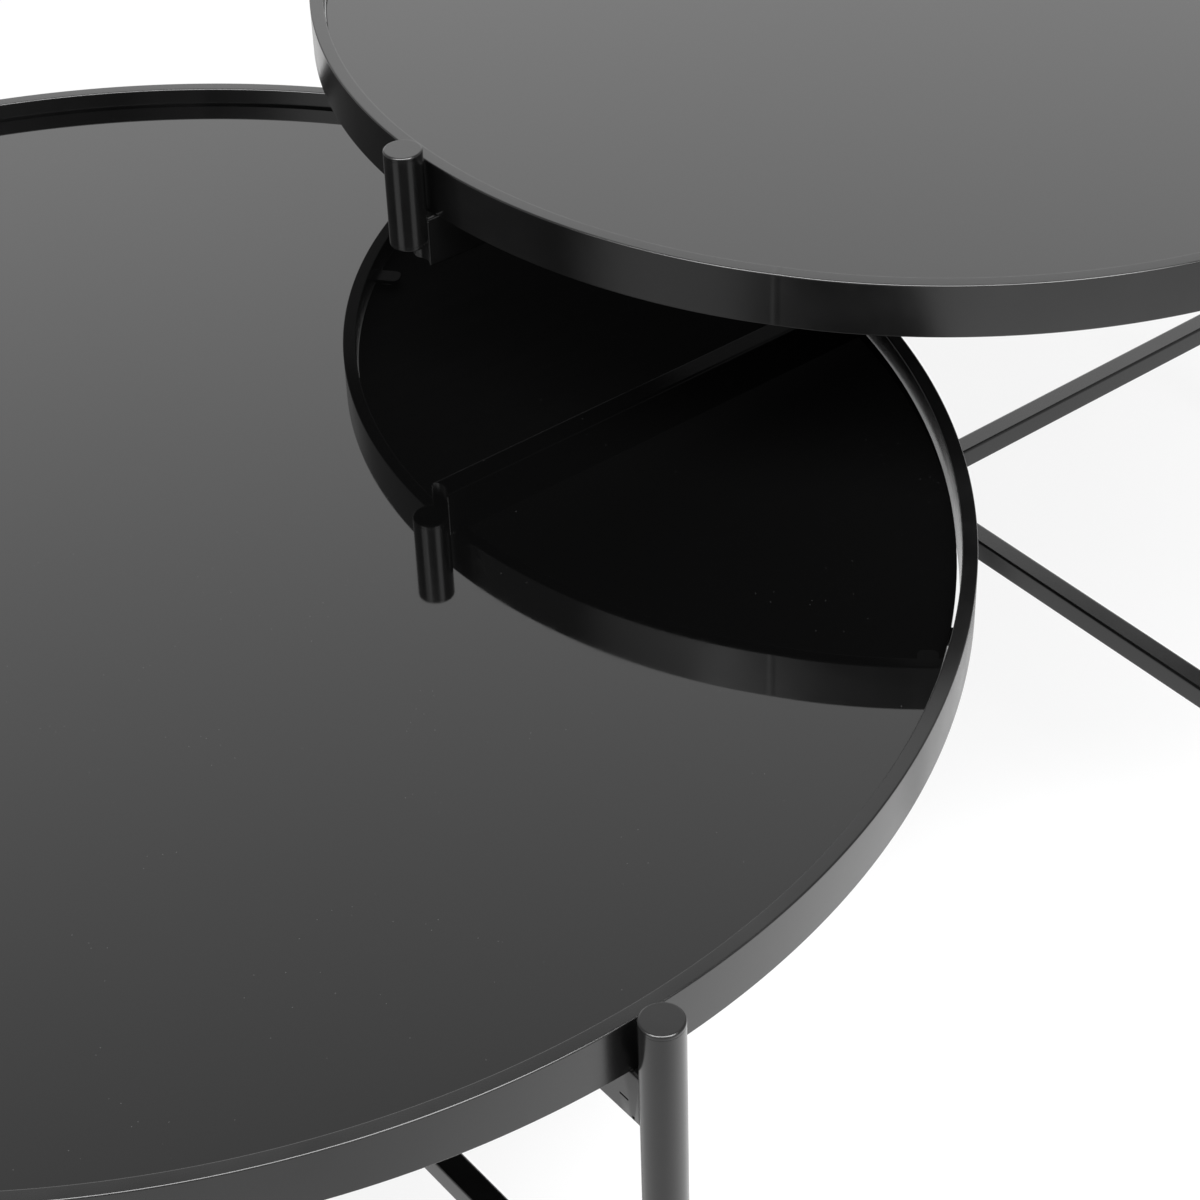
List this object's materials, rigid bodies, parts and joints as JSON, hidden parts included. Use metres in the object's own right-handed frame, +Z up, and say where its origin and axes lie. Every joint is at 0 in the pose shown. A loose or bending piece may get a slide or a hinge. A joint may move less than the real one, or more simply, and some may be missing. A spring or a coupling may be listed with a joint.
{
  "type": "nesting tables",
  "caption": "Pair of round nesting coffee tables in black steel with black glass trays, the small tall one standing over the large low one.",
  "frame": {"origin": "on the floor under the middle of the pair's outline, as the tables stand in the picture", "axes": "+X from the large low table towards the small tall one, the way the pair slides apart; +Z up"},
  "size_m": [1.1774, 0.7884, 0.432],
  "materials": {
    "black_steel": "satin black powder coat",
    "black_glass": "polished, opaque black",
    "black_plastic": "matt moulded",
    "clear_silicone": "clear soft pad"
  },
  "bodies": {
    "low_table": {"low_glass": "black_glass", "low_glass_pad_inner_left": "clear_silicone", "low_glass_pad_inner_right": "clear_silicone", "low_glass_pad_outer_left": "clear_silicone", "low_glass_pad_outer_right": "clear_silicone", "low_glass_tab_inner_left": "black_steel", "low_glass_tab_inner_right": "black_steel", "low_glass_tab_outer_left": "black_steel", "low_glass_tab_outer_right": "black_steel", "low_leg_inner": "black_steel", "low_leg_inner_cap": "black_steel", "low_leg_inner_glide": "black_plastic", "low_leg_left": "black_steel", "low_leg_left_cap": "black_steel", "low_leg_left_glide": "black_plastic", "low_leg_outer": "black_steel", "low_leg_outer_cap": "black_steel", "low_leg_outer_glide": "black_plastic", "low_leg_right": "black_steel", "low_leg_right_cap": "black_steel", "low_leg_right_glide": "black_plastic", "low_rim": "black_steel", "low_stretcher_inner": "black_steel", "low_stretcher_long": "black_steel", "low_stretcher_outer": "black_steel", "low_top_bar_inner": "black_steel", "low_top_bar_long": "black_steel", "low_top_bar_outer": "black_steel"},
    "tall_table": {"tall_glass": "black_glass", "tall_glass_pad_inner_left": "clear_silicone", "tall_glass_pad_inner_right": "clear_silicone", "tall_glass_pad_outer_left": "clear_silicone", "tall_glass_pad_outer_right": "clear_silicone", "tall_glass_tab_inner_left": "black_steel", "tall_glass_tab_inner_right": "black_steel", "tall_glass_tab_outer_left": "black_steel", "tall_glass_tab_outer_right": "black_steel", "tall_leg_left": "black_steel", "tall_leg_left_cap": "black_steel", "tall_leg_left_glide": "black_plastic", "tall_leg_outer": "black_steel", "tall_leg_outer_cap": "black_steel", "tall_leg_outer_glide": "black_plastic", "tall_leg_right": "black_steel", "tall_leg_right_cap": "black_steel", "tall_leg_right_glide": "black_plastic", "tall_rim": "black_steel", "tall_stretcher_long": "black_steel", "tall_stretcher_outer": "black_steel", "tall_stub_inner": "black_steel", "tall_stub_inner_cap": "black_steel", "tall_stub_inner_plug": "black_steel", "tall_top_bar_inner": "black_steel", "tall_top_bar_long": "black_steel", "tall_top_bar_outer": "black_steel"}
  },
  "joints": [
    {"name": "nest_slide", "type": "slide", "parent": "low_table", "child": "tall_table", "axis": [1, 0, 0], "range_m": [-0.07, 0.241]}
  ]
}
